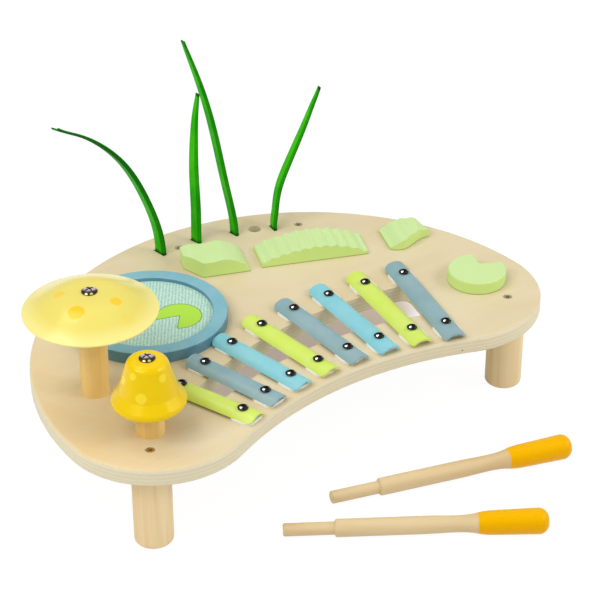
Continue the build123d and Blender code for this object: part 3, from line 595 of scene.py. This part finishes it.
def thin_piece(name, faces, points, look):
    """Closed sheet on the drum head, from level points and faces seen from above."""
    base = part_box("drum_head")[1][2]
    count = len(points)
    lower = [(p.x, p.y, base) for p in points]
    upper = [(p.x, p.y, base + PRINT_THICKNESS) for p in points]
    edges = [edge for face in faces for edge in zip(face, face[1:] + face[:1])]
    walls = [
        (first, second, second + count, first + count)
        for first, second in edges
        if (second, first) not in edges
    ]
    bottoms = [tuple(reversed(face)) for face in faces]
    tops = [tuple(index + count for index in face) for face in faces]
    mesh = bpy.data.meshes.new(name)
    mesh.from_pydata(lower + upper, [], bottoms + tops + walls)
    mesh.materials.append(look.material)
    piece = bpy.data.objects.new(name, mesh)
    bpy.context.collection.objects.link(piece)
    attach(piece, "table")


inner = leaf_outline(PRINT_LINE)
outer = leaf_outline(0.0)
size = len(inner)
leaf_ink = printed_ink("leaf_ink", rgb(170, 216, 62))
line_ink = printed_ink("line_ink", rgb(96, 140, 44))
leaf_face = tuple(range(size))
line_faces = [
    (index, (index + 1) % size, (index + 1) % size + size, index + size) for index in range(size)
]
thin_piece("leaf_print", [leaf_face], inner, leaf_ink)
thin_piece("leaf_print_line", line_faces, outer + inner, line_ink)


# ---------------------------------------------------------------- studio
FLOOR_REACH = 12.0  # from the middle to each side
FLOOR_GLOW = 0.9  # share of plain white in the floor that the camera sees
SHADE_GLOW = 0.24  # the same under the table
GLOW_STRENGTH = 1.05
SHADE_CENTRE = Vector((238.0, 152.0, 0.0)) * MM  # the ground in the table's deepest shade
SHADE_REACH = Vector((140.0, 58.0, 0.0)) * MM
SHADE_EDGE = (0.8, 1.15)  # shares of the reach between which the shade fades out
WORLD_STRENGTH = 0.55
LAMP_TARGET = Vector((170.0, 80.0, 60.0)) * MM


def emission_for_camera(look, shader_socket, share):
    """Blend plain white into what camera and glossy rays see, so that the ground stays pale."""
    path = look.node("ShaderNodeLightPath")
    glow = look.node("ShaderNodeEmission", {"Color": (1, 1, 1, 1), "Strength": GLOW_STRENGTH})
    seen = look.math("MAXIMUM", path.outputs["Is Camera Ray"], path.outputs["Is Glossy Ray"])
    seen_share = look.math("MULTIPLY", seen, share)
    inputs = {0: seen_share, 1: shader_socket, 2: glow.outputs["Emission"]}
    return look.node("ShaderNodeMixShader", inputs).outputs["Shader"]


def studio_floor():
    """White ground that keeps a faint shadow, with an ochre patch of shade under the table."""
    look = Look("studio_floor")
    apart = look.vector_math("SUBTRACT", look.place(), SHADE_CENTRE)
    in_reaches = look.vector_math("MULTIPLY", apart, (1 / SHADE_REACH.x, 1 / SHADE_REACH.y, 0))
    lit = look.span(look.vector_math("LENGTH", in_reaches, output="Value"), *SHADE_EDGE)
    look.set(
        Base_Color=look.mix(lit, rgb(222, 192, 144), rgb(238, 238, 238)),
        Roughness=0.9,
    )
    share = look.span(lit, 0.0, 1.0, SHADE_GLOW, FLOOR_GLOW, smooth=False)
    surface = look.tree.nodes["Material Output"].inputs["Surface"]
    look.join(emission_for_camera(look, look.shader.outputs[0], share), surface)
    mesh = bpy.data.meshes.new("studio_floor")
    corners = [
        (x * FLOOR_REACH, y * FLOOR_REACH, 0) for x, y in ((-1, -1), (1, -1), (1, 1), (-1, 1))
    ]
    mesh.from_pydata(corners, [], [(0, 1, 2, 3)])
    mesh.materials.append(look.material)
    floor = bpy.data.objects.new("studio_floor", mesh)
    bpy.context.collection.objects.link(floor)


def studio_world():
    """White backdrop that lights the scene less than it shows."""
    world = bpy.data.worlds.new("studio")
    world.use_nodes = True
    bpy.context.scene.world = world
    tree = world.node_tree
    background = tree.nodes["Background"]
    path = tree.nodes.new("ShaderNodeLightPath")
    seen = tree.nodes.new("ShaderNodeMath")
    seen.operation = "MULTIPLY_ADD"
    tree.links.new(path.outputs["Is Camera Ray"], seen.inputs[0])
    seen.inputs[1].default_value = 1.0 - WORLD_STRENGTH
    seen.inputs[2].default_value = WORLD_STRENGTH
    background.inputs["Color"].default_value = (1, 1, 1, 1)
    tree.links.new(seen.outputs[0], background.inputs["Strength"])


def studio_lamp(name, azimuth, elevation, distance, size, power):
    """Square lamp that faces the object's middle."""
    outward = heading(azimuth, elevation)
    lamp = bpy.data.lights.new(name, "AREA")
    lamp.size = size
    lamp.energy = power
    lamp_object = bpy.data.objects.new(name, lamp)
    lamp_object.location = LAMP_TARGET + outward * distance
    lamp_object.rotation_euler = outward.to_track_quat("Z", "Y").to_euler()
    bpy.context.collection.objects.link(lamp_object)


# Name, azimuth, elevation, distance, size and power.
LAMPS = (
    ("key", 190, 50, 1.7, 1.0, 9.5),
    ("fill", 322, 30, 1.7, 1.2, 7.5),
    ("top", 60, 80, 1.6, 1.2, 2.0),
    ("glint_back", 124, 64.4, 1.92, 0.6, 4.0),
    ("glint_left", 172, 42, 1.7, 0.3, 3.0),
    ("glint_right", 302, 38, 1.7, 0.3, 3.0),
)
studio_floor()
studio_world()
for lamp_settings in LAMPS:
    studio_lamp(*lamp_settings)


# ---------------------------------------------------------------- camera
CAMERA_PLACE = Vector((-645.5, -1032.7, 963.4)) * MM
VIEW_AZIMUTH = 53.0  # the camera looks towards this azimuth
CAMERA_PITCH = 31.7064  # and this far down
CAMERA_ROLL = -0.1564
FOCAL_PIXELS = 2050.8  # focal length in pixels of a frame that is FRAME_PIXELS wide
FRAME_PIXELS = 590
SENSOR_WIDTH = 36.0  # in millimetres, as a camera has it

forward = heading(VIEW_AZIMUTH, -CAMERA_PITCH)
sideways = heading(VIEW_AZIMUTH - 90)
level_up = sideways.cross(forward)
roll = math.radians(CAMERA_ROLL)
right = math.cos(roll) * sideways + math.sin(roll) * level_up
up = right.cross(forward)
camera_data = bpy.data.cameras.new("camera")
camera_data.sensor_width = SENSOR_WIDTH
camera_data.lens = SENSOR_WIDTH * FOCAL_PIXELS / FRAME_PIXELS
camera = bpy.data.objects.new("camera", camera_data)
turn = Matrix((right, up, -forward)).transposed().to_4x4()
camera.matrix_world = Matrix.Translation(CAMERA_PLACE) @ turn
bpy.context.collection.objects.link(camera)
bpy.context.scene.camera = camera

bpy.context.scene.view_settings.view_transform = "Standard"
